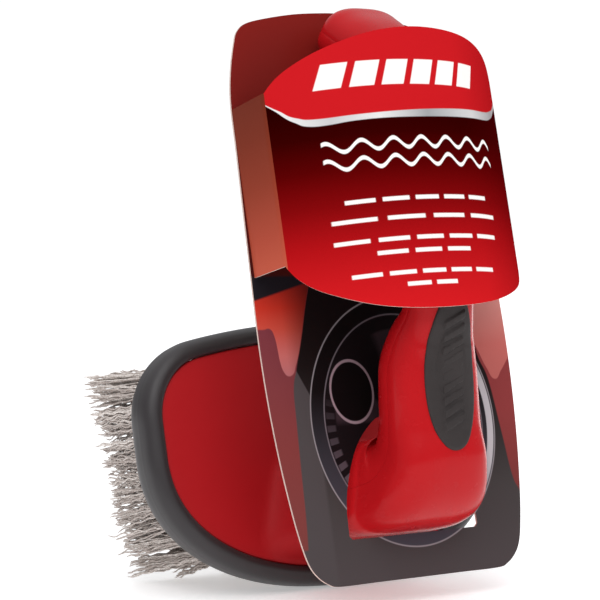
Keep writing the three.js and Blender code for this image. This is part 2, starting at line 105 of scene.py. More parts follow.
# Centre line of the handle: y, z, half width, half thickness, fullness of the section and taper.
HANDLE_LINE = [
    (-20.3, 33.2, 26.2, 18.6, 4.4, 0.20), (-33.0, 33.2, 25.8, 18.6, 4.4, 0.20),
    (-45.0, 33.4, 25.2, 18.5, 4.3, 0.19), (-53.6, 35.0, 23.1, 18.0, 3.8, 0.13),
    (-59.8, 41.2, 20.6, 16.9, 3.2, 0.06), (-63.2, 52.0, 19.8, 14.0, 2.7, 0.00),
    (-65.2, 64.0, 19.7, 13.5, 2.6, 0.00), (-67.4, 75.0, 19.2, 13.1, 2.6, 0.00),
    (-71.6, 84.0, 17.2, 11.8, 2.5, 0.00), (-76.8, 91.5, 14.8, 9.6, 2.4, 0.00),
    (-81.0, 100.0, 13.6, 7.6, 2.4, 0.00), (-83.2, 112.0, 13.4, 7.0, 2.4, 0.00),
    (-84.0, 132.0, 13.4, 7.2, 2.4, 0.00), (-82.8, 154.0, 14.2, 8.0, 2.4, -0.04),
    (-79.0, 173.0, 15.6, 9.2, 2.4, -0.10), (-72.4, 187.8, 16.8, 10.0, 2.5, -0.10),
    (-64.8, 198.4, 17.6, 10.4, 2.7, -0.10), (-57.0, 205.4, 18.0, 10.4, 2.9, -0.10),
]
TAIL_DOME = 9                   # length of the rounded free end beyond the centre line
SEAM_GAP = 0.06
SEAM_ROUND = 0.12

PAD_Z = 70
PAD_HALF_HEIGHT = 29
PAD_HALF_WIDTH = 11.4
PAD_PROUD = 0.85
PAD_SUNK = 1.0
RIB_COUNT = 9
RIB_PITCH = 4.6
RIB_HALF_LENGTH = 4.0
RIB_HALF_HEIGHT = 1.2
RIB_SLANT = 0.45
RIB_PROUD = 0.85

CARD = 0.8
BACKER_Y = -45
BACKER_BOTTOM = -2.4
BACKER_TOP = 218.2
# Right half of the backer's outline, x and z, from the bottom to the top.
BACKER_HALF = [
    (0, -2.4), (20, -2.4), (38, -2.4), (43, -1.2), (47.5, 2), (50.6, 6.5), (52.8, 14), (55, 26),
    (57.4, 45), (59, 66), (59.6, 88), (59.2, 110), (58, 160), (57.6, 180), (55.6, 193), (52.4, 204),
    (50.4, 208.4), (46, 211.8), (36, 214.4), (22, 216.8), (8, 218), (0, 218.2),
]
# Right half of the window that the neck passes through.
WINDOW_HALF = [
    (0, 14.2), (29.6, 14.2), (30.9, 15.4), (30.6, 24), (29.5, 30.4), (27.6, 36.6), (25.4, 42), (22.8, 47),
    (19.6, 51.4), (15.8, 55.1), (11.3, 58.4), (6, 59.8), (0, 60),
]
BELT_Y = -66
BELT_LEFT_X = -57.5
BELT_RIGHT_X = 52.8
BELT_END_X = 57.2               # where the right strip meets the backer
BELT_ROWS = 25                  # points up the height of the belt
STRIP_STEPS = 14                # points along each side strip
FLAP_BULGE = 27
FLAP_POWER = 2.2
STRIP_LOW = 113.5
STRIP_HIGH = 177.5
# The flap's top and bottom edges, x and z, from the left crease to the right one.
FLAP_TOP = [
    (-58, 175), (-56.6, 179), (-51, 185), (-40, 191), (-24, 195.8), (-8, 197.8), (8, 197.6), (26, 195.8),
    (40.2, 192.2), (48.4, 187), (53.3, 178.6),
]
FLAP_BOTTOM = [
    (-58, 113.5), (-54.7, 107.4), (-48.4, 101.6), (-36, 95.6), (-22, 92.6), (-4, 92), (14, 93.6),
    (30, 97.6), (44.4, 103.5), (53.3, 111.5),
]

# Lighting and camera, in metres.
FLOOR_HALF = 8
LENS = 132
SENSOR = 36
CAMERA_PLACE = (-0.5205, -0.6881, 0.1454)
CAMERA_WAY = (0.5873, 0.8084, -0.0384)
BACKDROP = 1.05                 # brightness of the white background
SKY_LEVELS = (("From Min", 0.1), ("From Max", 0.95), ("To Min", 0.3), ("To Max", 1.2))

# ------------------------------------------------------------------ frame
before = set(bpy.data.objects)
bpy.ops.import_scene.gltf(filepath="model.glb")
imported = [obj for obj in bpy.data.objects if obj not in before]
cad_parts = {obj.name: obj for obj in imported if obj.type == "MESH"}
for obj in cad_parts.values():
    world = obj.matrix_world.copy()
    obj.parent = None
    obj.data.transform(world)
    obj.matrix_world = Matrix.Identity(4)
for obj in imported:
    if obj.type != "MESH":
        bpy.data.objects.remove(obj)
cad_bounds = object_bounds()
TURN = np.array(Matrix.Rotation(-LEAN, 3, "X"))


def frame_shift():
    """Where the upright drawing's origin lies in the row frame, from the box of the backer."""
    low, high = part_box("card_backer")
    back = BACKER_Y + CARD / 2
    return np.array((
        0,
        high.y - (back * math.cos(LEAN) + BACKER_TOP * math.sin(LEAN)) * MM,
        low.z - (-back * math.sin(LEAN) + BACKER_BOTTOM * math.cos(LEAN)) * MM,
    ))


SHIFT = frame_shift()


def to_world(points):
    """Points of the upright drawing, in millimetres, as points of the row frame, in metres."""
    return np.asarray(points, float) * MM @ TURN.T + SHIFT


# ------------------------------------------------------------------ mesh helpers
def make_piece(name, points, faces, materials, slots=None, sharp=40.0):
    """A mesh object from points in the upright frame. slots gives each face's material number."""
    mesh = bpy.data.meshes.new(name)
    mesh.from_pydata(to_world(points).tolist(), [], faces)
    for material in materials:
        mesh.materials.append(material)
    if slots is not None:
        mesh.polygons.foreach_set("material_index", slots)
    mesh.validate()
    mesh.polygons.foreach_set("use_smooth", [True] * len(mesh.polygons))
    mesh.set_sharp_from_angle(angle=math.radians(sharp))
    mesh.update()
    piece = bpy.data.objects.new(name, mesh)
    bpy.context.scene.collection.objects.link(piece)
    return piece


def ring_faces(rings, count, closed=False, start=0):
    """Quads between rings of count points. closed joins the last ring to the first."""
    faces = []
    for r in range(rings if closed else rings - 1):
        here = start + r * count
        there = start + ((r + 1) % rings) * count
        for i in range(count):
            j = (i + 1) % count
            faces.append((here + i, here + j, there + j, there + i))
    return faces


def tube(rings, count):
    """Faces of a tube of rings of count points, closed by a flat face at each end."""
    last = (rings - 1) * count
    ends = [tuple(reversed(range(count))), tuple(range(last, last + count))]
    return ring_faces(rings, count) + ends


def loft(rings):
    """Points and faces of a closed tube through the rings."""
    return np.concatenate(rings), tube(len(rings), len(rings[0]))


def through(points, per_span=12, closed=False):
    """A smooth curve through the points, as an array with per_span steps between each two."""
    p = np.asarray(points, float)
    n = len(p)
    before = np.roll(p, 1, 0)
    after = np.roll(p, -1, 0)
    after2 = np.roll(p, -2, 0)
    if not closed:
        before[0] = 2 * p[0] - p[1]
        after2[-2] = 2 * p[-1] - p[-2]
    f = np.linspace(0, 1, per_span, endpoint=False)[:, None]
    curve = []
    for i in range(n if closed else n - 1):
        a, b, c, d = before[i], p[i], after[i], after2[i]
        curve.append(b + 0.5 * f * (c - a + f * (2 * a - 5 * b + 4 * c - d + f * (3 * (b - c) + d - a))))
    if not closed:
        curve.append(p[-1:])
    return np.concatenate(curve)


def evenly(outline, count):
    """A closed outline with count points at equal steps along it."""
    closed = np.vstack([outline, outline[:1]])
    along = np.concatenate([[0], np.cumsum(np.linalg.norm(np.diff(closed, axis=0), axis=1))])
    at = np.linspace(0, along[-1], count, endpoint=False)
    return np.column_stack([np.interp(at, along, closed[:, k]) for k in range(closed.shape[1])])


def mirrored(half):
    """A closed outline from its right half, both ends of which lie on x = 0."""
    right = np.asarray(half, float)
    return np.vstack([right, right[1:-1][::-1] * (-1, 1)])


def drawn_in(outline, inset):
    """A closed anticlockwise outline moved inwards along its own normal."""
    step = np.roll(outline, -1, 0) - np.roll(outline, 1, 0)
    step /= np.linalg.norm(step, axis=1)[:, None]
    return outline + inset * np.column_stack([-step[:, 1], step[:, 0]])


def at_y(outline, y):
    """An outline in x and z, as points at depth y."""
    return np.column_stack([outline[:, 0], np.full(len(outline), y), outline[:, 1]])


# ------------------------------------------------------------------ head
def head_outline(count=480):
    """The head's D-shaped outline: a round nose, two corners and a slightly crowned top edge."""
    t = np.linspace(0, math.pi / 2, 90)
    nose = np.column_stack([
        HEAD_HALF_WIDTH * np.sin(t) ** (2 / NOSE_POWER),
        HEAD_WIDEST_Z - HEAD_WIDEST_Z * np.cos(t) ** (2 / NOSE_POWER),
    ])
    corner_x = HEAD_HALF_WIDTH - HEAD_CORNER
    corner_z = HEAD_HEIGHT - HEAD_CROWN - HEAD_CORNER
    t = np.linspace(0, math.pi / 2 - math.atan2(2 * HEAD_CROWN, corner_x), 40)
    corner = np.column_stack([corner_x + HEAD_CORNER * np.cos(t), corner_z + HEAD_CORNER * np.sin(t)])
    end_x, end_z = corner[-1]
    x = np.linspace(end_x, 0, 30)[1:]
    top = np.column_stack([x, HEAD_HEIGHT - (HEAD_HEIGHT - end_z) * (x / end_x) ** 2])
    right = np.vstack([nose, corner, top])
    return evenly(mirrored(right), count)


OUTLINE = head_outline()


def head_half_width(z):
    """Half width of the head at a height."""
    right = OUTLINE[: len(OUTLINE) // 2 + 1]
    crossing = np.nonzero(np.diff(np.sign(right[:, 1] - z)))[0]
    return max(right[i, 0] for i in crossing)


def section(half_width, half_thick, power, taper, t):
    """Points round the handle's section at angles t: x, and the distance to its outer side."""
    across = np.sign(np.cos(t)) * np.abs(np.cos(t)) ** (2 / power)
    outer = np.sign(np.sin(t)) * np.abs(np.sin(t)) ** (2 / power)
    return np.column_stack([half_width * (1 + taper * outer) * across, half_thick * outer])


def bumper_ring(material):
    """The rubber ring round the head, with its parting line, set flat where it meets the ground."""
    profile = evenly(through(BUMPER_SECTION, closed=True), 72)
    bead = np.exp(-((profile[:, 1] - PARTING_Y) / PARTING_SPREAD) ** 2) * (profile[:, 0] < 3)
    profile[:, 0] = np.maximum(profile[:, 0] - PARTING_PROUD * bead, 0)
    rails = [at_y(drawn_in(OUTLINE, inset), y) for inset, y in profile]
    points = np.stack(rails, axis=1).reshape(-1, 3)
    piece = make_piece("bumper_ring", points, ring_faces(len(OUTLINE), len(profile), True), [material])
    for vertex in piece.data.vertices:
        vertex.co.z = max(vertex.co.z, 0)
    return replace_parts(piece, "rubber_bumper")


def polar(outline, centre, angles):
    """Distance from the centre to the outline at each angle."""
    from_centre = outline - centre
    at = np.arctan2(from_centre[:, 1], from_centre[:, 0])
    order = np.argsort(at)
    return np.interp(angles, at[order], np.hypot(*from_centre.T)[order], period=2 * math.pi)


SHELL_CENTRE = np.array((0, HANDLE_LINE[0][1]))
SHELL_ANGLES = np.linspace(0, 2 * math.pi, 384, endpoint=False)


def shell_ring(radii, y):
    """A ring of the head shell at depth y, from its radius at each angle round the neck's centre."""
    turns = np.column_stack([np.cos(SHELL_ANGLES), np.sin(SHELL_ANGLES)])
    return at_y(SHELL_CENTRE + turns * radii[:, None], y)


def rim_radii(inset):
    """Radii of the head's outline, drawn in by inset."""
    return polar(drawn_in(OUTLINE, inset), SHELL_CENTRE, SHELL_ANGLES)


def neck_radii(flare):
    """Radii of the neck's section, widened by a share of the fillet."""
    _, _, width, thick, power, taper = HANDLE_LINE[0]
    t = np.linspace(0, 2 * math.pi, 2000, endpoint=False)
    oval = section(width + FILLET[0] * flare, thick + FILLET[1] * flare, power, taper, t)
    return polar(oval * (1, -1) + SHELL_CENTRE, SHELL_CENTRE, SHELL_ANGLES)


def head_shell(material):
    """The moulded head: a shallow tray whose front face flares into the neck."""
    outer = BUMPER_WIDTH + GAP
    inner = BUMPER_WIDTH + RIM_WALL
    tray = (
        (inner + 0.2, FRONT_WALL), (inner, FRONT_WALL + 0.3), (inner, HEAD_DEPTH - 0.5),
        (inner - 0.5, HEAD_DEPTH), (outer + 0.5, HEAD_DEPTH), (outer, HEAD_DEPTH - 0.5),
        (outer, 0.7), (outer + 0.12, 0.3), (outer + 0.4, 0.08),
    )
    rings = [shell_ring(rim_radii(inset), y) for inset, y in tray]
    face, root = rim_radii(outer + 0.8), neck_radii(1)
    for share in np.linspace(0, 1, 14):
        rings.append(shell_ring(face + (root - face) * share, 0))
    for share in np.linspace(0, 1, 18)[1:]:
        along = share ** 1.5
        flare = 1 - math.sqrt(1 - (1 - along) ** 2)
        rings.append(shell_ring(neck_radii(flare), NECK_JOINT_Y * along))
    points, faces = loft(rings)
    piece = make_piece("head_shell", points, faces, [material])
    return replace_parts(piece, "head_plate")


# ------------------------------------------------------------------ bristles
def crimped_lines(roots, ends, side, up, length, dice):
    """A crimped and slightly bent line from each root to its end. The filaments of a tuft crimp alike."""
    count = len(roots)
    steps = np.linspace(0, 1, FILAMENT_STEPS)
    tuft = np.arange(count) // TUFT_FILAMENTS
    turn = dice.uniform(0, 2 * math.pi, tuft[-1] + 1)[tuft] + dice.normal(0, 0.5, count)
    wave_way = side * np.cos(turn)[:, None] + up * np.sin(turn)[:, None]
    wander_way = side * np.sin(turn)[:, None] - up * np.cos(turn)[:, None]
    waves = length / CRIMP_LENGTH * dice.uniform(0.93, 1.07, count)
    phase = dice.uniform(0, 2 * math.pi, tuft[-1] + 1)[tuft] + dice.normal(0, 0.7, count)
    height = CRIMP_HEIGHT * dice.uniform(0.6, 1.25, count)
    bend = dice.normal(0, 0.9, count)
    ease = np.minimum(steps * 6, 1)
    wave = height[:, None] * ease * np.sin(2 * math.pi * waves[:, None] * steps + phase[:, None])
    wander = bend[:, None] * steps ** 2 + 0.4 * ease * np.sin(3.3 * steps + phase[:, None])
    straight = roots[:, None] + (ends - roots)[:, None] * steps[:, None]
    return straight + wave_way[:, None] * wave[..., None] + wander_way[:, None] * wander[..., None]


def tube_faces(count):
    """Faces of count separate filaments, each a closed tube."""
    one = tube(FILAMENT_STEPS, FILAMENT_SIDES)
    size = FILAMENT_STEPS * FILAMENT_SIDES
    return [tuple(k * size + v for v in face) for k in range(count) for face in one]


def crimped_filaments(roots, ends, dice):
    """Thin crimped tubes from each root to its end. Returns points, faces and a shade for each point."""
    count = len(roots)
    axis = ends - roots
    length = np.linalg.norm(axis, axis=1)
    axis /= length[:, None]
    side = np.cross(axis, (0, 0, 1))
    side /= np.linalg.norm(side, axis=1)[:, None]
    up = np.cross(side, axis)
    line = crimped_lines(roots, ends, side, up, length, dice)
    radius = FILAMENT_RADIUS * dice.uniform(0.85, 1.15, count)
    taper = np.where(np.linspace(0, 1, FILAMENT_STEPS) > 0.97, 0.55, 1.0)
    around = np.linspace(0, 2 * math.pi, FILAMENT_SIDES, endpoint=False)
    spokes = side[:, None] * np.cos(around)[:, None] + up[:, None] * np.sin(around)[:, None]
    reach = radius[:, None] * taper
    points = line[:, :, None] + spokes[:, None] * reach[:, :, None, None]
    shades = np.repeat(dice.uniform(0, 1, count), FILAMENT_STEPS * FILAMENT_SIDES)
    return points.reshape(-1, 3), tube_faces(count), shades


def tuft(x, z, long, lean, dice):
    """Roots and ends of one tuft's filaments, fanned out and gathered into a few clumps."""
    clumps = dice.normal(0, CLUMP_SPREAD, (TUFT_CLUMPS, 2))
    roots, ends = [], []
    for _ in range(TUFT_FILAMENTS):
        angle = dice.uniform(0, 2 * math.pi)
        radius = TUFT_RADIUS * math.sqrt(dice.uniform(0, 1))
        out = radius * np.array((math.cos(angle), math.sin(angle)))
        flare = 0.6 * out + clumps[dice.integers(TUFT_CLUMPS)]
        start = np.array((x + out[0], ROOT_Y - ROOT_SUNK, z + out[1]))
        size = long * (1 - abs(dice.normal(0, 0.06)))
        roots.append(start)
        ends.append(start + lean * size + np.array((flare[0], 0, flare[1])))
    return roots, ends


def bristle_row(index, material):
    """One row of tufts, with the hollow of the brush face in its tips and an outward splay."""
    dice = np.random.default_rng(100 + index)
    share = index / (ROW_COUNT - 1)
    z = ROW_Z_LOW + (ROW_Z_HIGH - ROW_Z_LOW) * share
    middle = share * 2 - 1
    end = "nose" if middle < 0 else "top"
    tip_y = TIP_Y["middle"] + (TIP_Y[end] - TIP_Y["middle"]) * middle ** 2
    splay = TIP_SPLAY["middle"] + (TIP_SPLAY[end] - TIP_SPLAY["middle"]) * middle ** 2
    tilt = ROW_TILT * middle * (1 if middle > 0 else 0.4)
    reach = min(head_half_width(z - 2.6), head_half_width(z + 2.6)) - ROW_INSET + 0.8
    tufts = max(2, round(2 * reach / TUFT_PITCH)) + index % 2
    roots, ends = [], []
    for x in np.linspace(-reach + TUFT_RADIUS, reach - TUFT_RADIUS, tufts):
        across = x / reach
        long = tip_y + TIP_HOLLOW * (across ** 2 - 1) * (1 - abs(middle)) - ROOT_Y
        lean = np.array((splay * across + dice.normal(0, 0.02), 1, tilt))
        tuft_roots, tuft_ends = tuft(x, z, long, lean, dice)
        roots += tuft_roots
        ends += tuft_ends
    points, faces, shades = crimped_filaments(np.array(roots), np.array(ends), dice)
    piece = make_piece(f"bristles_{index + 1:02d}", points, faces, [material], sharp=180)
    shade = piece.data.attributes.new("shade", "FLOAT", "POINT")
    shade.data.foreach_set("value", shades)
    keep_inside(piece)
    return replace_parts(piece, f"bristle_row_{index + 1:02d}")


def keep_inside(piece):
    """Presses the few tips that stray past the CAD box back to it."""
    co = np.empty(len(piece.data.vertices) * 3)
    piece.data.vertices.foreach_get("co", co)
    co = co.reshape(-1, 3)
    low, high = np.array(cad_bounds[0]), np.array(cad_bounds[1])
    co = np.clip(co, low + (0, 0, TIP_CLEARANCE * MM), high)
    piece.data.vertices.foreach_set("co", co.reshape(-1))
    piece.data.update()


# ------------------------------------------------------------------ handle
def spine(place):
    """Centre and direction of the handle at a place counted in stations, on a centripetal spline."""
    line = np.array([station[:2] for station in HANDLE_LINE])
    i = min(int(place), len(line) - 2)
    f = place - i
    b, c = line[i], line[i + 1]
    a = line[i - 1] if i else 2 * b - c
    d = line[i + 2] if i + 2 < len(line) else 2 * c - b
    t0, t1, t2 = (math.sqrt(np.linalg.norm(q - p)) for p, q in ((a, b), (b, c), (c, d)))
    m1 = ((b - a) / t0 - (c - a) / (t0 + t1) + (c - b) / t1) * t1
    m2 = ((c - b) / t1 - (d - b) / (t1 + t2) + (d - c) / t2) * t1
    at = (
        (2 * f ** 3 - 3 * f ** 2 + 1) * b + (f ** 3 - 2 * f ** 2 + f) * m1
        + (3 * f ** 2 - 2 * f ** 3) * c + (f ** 3 - f ** 2) * m2
    )
    way = (
        (6 * f ** 2 - 6 * f) * b + (3 * f ** 2 - 4 * f + 1) * m1
        + (6 * f - 6 * f ** 2) * c + (3 * f ** 2 - 2 * f) * m2
    )
    return at, way / np.linalg.norm(way)


def handle_half(name, side, nodes, material):
    """One moulded half of the handle, solid, with a small round along its seam."""
    t = np.linspace(0, math.pi, 72) * side
    sizes = through([station[2:] for station in HANDLE_LINE], 12)
    places = np.linspace(0, len(HANDLE_LINE) - 1, len(sizes))
    stations = [(*spine(place), *size) for place, size in zip(places, sizes)]
    end, way = spine(len(HANDLE_LINE) - 1)
    width, thick, power, taper = HANDLE_LINE[-1][2:]
    for share in np.sin(np.linspace(0, math.pi / 2, 18))[1:-1]:
        shrink = (1 - share ** 2.8) ** 0.46
        stations.append((end + way * TAIL_DOME * share, way, width * shrink, thick * shrink, power, taper))
    rings = []
    for at, way, width, thick, power, taper in stations:
        rim = section(width, thick, power, taper, t)
        seam = SEAM_ROUND * np.exp(-np.abs(rim[:, 1]) / 0.4)
        rim[:, 0] -= np.sign(rim[:, 0]) * seam
        rim[:, 1] = side * np.maximum(np.abs(rim[:, 1]), SEAM_GAP / 2)
        rings.append(np.column_stack([
            rim[:, 0], at[0] - rim[:, 1] * way[1], at[1] + rim[:, 1] * way[0],
        ]))
    if side < 0:
        rings = [ring[::-1] for ring in rings]
    points, faces = loft(rings)
    piece = make_piece(name, points, [face[::-1] for face in faces], [material], sharp=50)
    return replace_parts(piece, *nodes)


def pad_outline(angles):
    """An egg-shaped oval, widest a little below its middle."""
    width = PAD_HALF_WIDTH * (1 - 0.1 * np.sin(angles))
    across = np.sign(np.cos(angles)) * np.abs(np.cos(angles)) ** 0.92
    return np.column_stack([width * across, PAD_HALF_HEIGHT * np.sin(angles)])


def rib_height(x, z):
    """The raised slanted ribs down the middle of the pad."""
    low = -RIB_PITCH * (RIB_COUNT - 1) / 2
    slanted = z - RIB_SLANT * x
    nearest = min(RIB_COUNT - 1, max(0, round((slanted - low) / RIB_PITCH)))
    off = slanted - (low + nearest * RIB_PITCH)
    outside = math.hypot(max(abs(x) - RIB_HALF_LENGTH, 0), max(abs(off) - RIB_HALF_HEIGHT + 0.5, 0))
    return RIB_PROUD * max(0, min(1, (0.9 - outside) / 0.45))


def grip_pad(handle, material):
    """The soft oval, laid on the handle's outer face with a rolled rim."""
    tree = BVHTree.FromObject(handle, bpy.context.evaluated_depsgraph_get())
    forward = Vector(TURN @ (0, 1, 0))
    angles = np.linspace(0, 2 * math.pi, 220, endpoint=False)
    oval = pad_outline(angles)
    shares = [1.0, 1.0, 0.995, 0.985, 0.965, 0.94, 0.91, *np.linspace(0.87, 0.02, 58)]
    lifts = [-PAD_SUNK, 0.1, 0.4, 0.62, 0.78, 0.84, PAD_PROUD, *[PAD_PROUD] * 58]
    points = []
    for share, lift in zip(shares, lifts):
        for x, z in oval * share:
            start = Vector(to_world((x, -130, z + PAD_Z)))
            hit, normal, _, _ = tree.ray_cast(start, forward)
            rib = rib_height(x, z) if share < 0.9 else 0
            points.append(hit + normal * (lift + rib) * MM)
    upright = (np.array([tuple(p) for p in points]) - SHIFT) @ TURN / MM
    piece = make_piece("grip_inlay", upright, tube(len(shares), len(angles)), [material], sharp=60)
    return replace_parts(piece, "grip_pad")


# ------------------------------------------------------------------ card sleeve
def card_backer(print_face, board, edge):
    """The flat card behind the handle, with the window that the neck passes through."""
    outline = mirrored(through(BACKER_HALF, 8))
    window = mirrored(np.vstack([WINDOW_HALF[:3], through(WINDOW_HALF[3:], 6)]))
    flat = [[Vector((x, z, 0)) for x, z in ring] for ring in (outline, window[::-1])]
    triangles = tessellate_polygon(flat)
    ring = np.vstack([outline, window[::-1]])
    count = len(ring)
    points = np.vstack([at_y(ring, BACKER_Y - CARD / 2), at_y(ring, BACKER_Y + CARD / 2)])
    faces, slots = [], []
    for a, b, c in triangles:
        (ax, az), (bx, bz), (cx, cz) = ring[a], ring[b], ring[c]
        if (bx - ax) * (cz - az) - (bz - az) * (cx - ax) < 0:
            b, c = c, b
        faces += [(a, b, c), (c + count, b + count, a + count)]
        slots += [0, 1]
    for start, size in ((0, len(outline)), (len(outline), len(window))):
        for i in range(size):
            here, there = start + i, start + (i + 1) % size
            faces.append((there, here, here + count, there + count))
            slots.append(2)
    piece = make_piece("card_back", points, faces, [print_face, board, edge], slots, sharp=30)
    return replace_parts(piece, "card_backer")


def flap_y(x):
    """How far out the flap's centre line stands at x."""
    reach = np.where(x < 0, -BELT_LEFT_X, BELT_RIGHT_X)
    return BELT_Y - FLAP_BULGE * (1 - np.abs(x / reach) ** FLAP_POWER)


def belt_path():
    """The belt's centre line seen from above, and the heights of its bottom and top edges."""
    fold = BACKER_Y - CARD / 2 - GAP
    left = np.column_stack([np.full(STRIP_STEPS, BELT_LEFT_X), np.linspace(fold, BELT_Y + 0.5, STRIP_STEPS)])
    x = np.linspace(BELT_LEFT_X + 0.3, BELT_RIGHT_X - 0.3, 130)
    flap = np.column_stack([x, flap_y(x)])
    share = np.linspace(0.03, 1, STRIP_STEPS)[:, None]
    right = (1 - share) * (BELT_RIGHT_X, BELT_Y) + share * (BELT_END_X, fold)
    top, bottom = through(FLAP_TOP), through(FLAP_BOTTOM)
    tops = np.interp(x, top[:, 0], top[:, 1])
    bottoms = np.interp(x, bottom[:, 0], bottom[:, 1])
    left_top = np.linspace(STRIP_HIGH, tops[0], STRIP_STEPS)
    right_top = np.linspace(tops[-1], STRIP_HIGH - 2, STRIP_STEPS)
    strip_bottom = np.full(STRIP_STEPS, STRIP_LOW)
    low = np.concatenate([strip_bottom, bottoms, strip_bottom])
    high = np.concatenate([left_top, tops, right_top])
    return np.vstack([left, flap, right]), low, high


def belt_points(path, low, high):
    """The two faces of the belt's card, column by column, first the outer face and then the inner."""
    way = np.gradient(path, axis=0)
    way /= np.linalg.norm(way, axis=1)[:, None]
    inward = np.column_stack([-way[:, 1], way[:, 0]])
    z = low[:, None] + (high - low)[:, None] * np.linspace(0, 1, BELT_ROWS)
    sheets = []
    for side in (-1, 1):
        line = path + inward * side * CARD / 2
        x, y = (np.repeat(line[:, k:k + 1], BELT_ROWS, 1) for k in (0, 1))
        sheets.append(np.stack([x, y, z], axis=-1).reshape(-1, 3))
    return np.concatenate(sheets)


def belt_faces(columns):
    """Faces of the belt, with material 0 on the flap, 1 on the strips, 2 inside and 3 on cut edges."""
    rows = BELT_ROWS
    back = columns * rows
    faces, slots = [], []
    for c in range(columns - 1):
        front = 0 if STRIP_STEPS <= c < columns - STRIP_STEPS else 1
        for r in range(rows - 1):
            a, b = c * rows + r, (c + 1) * rows + r
            faces += [(a, b, b + 1, a + 1), (back + a + 1, back + b + 1, back + b, back + a)]
            slots += [front, 2]
        low_a, low_b = c * rows, (c + 1) * rows
        high_a, high_b = low_a + rows - 1, low_b + rows - 1
        faces += [(low_b, low_a, back + low_a, back + low_b), (high_a, high_b, back + high_b, back + high_a)]
        slots += [3, 3]
    for c, flip in ((0, False), (columns - 1, True)):
        for r in range(rows - 1):
            a = c * rows + r
            end = (a, a + 1, back + a + 1, back + a)
            faces.append(end[::-1] if flip else end)
            slots.append(3)
    return faces, slots


def card_belt(flap_face, strip_face, board, edge):
    """One sheet of card: left strip, bowed flap, right strip."""
    path, low, high = belt_path()
    faces, slots = belt_faces(len(path))
    materials = [flap_face, strip_face, board, edge]
    piece = make_piece("card_belt", belt_points(path, low, high), faces, materials, slots, sharp=30)
    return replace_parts(piece, "card_left_strip", "card_front_flap", "card_right_strip")


# ------------------------------------------------------------------ materials
def linear(red, green, blue):
    """A shader colour from 0-255 display values."""
    return tuple(
        c / 12.92 if c <= 0.04045 else ((c + 0.055) / 1.055) ** 2.4
        for c in (red / 255, green / 255, blue / 255)
    ) + (1.0,)


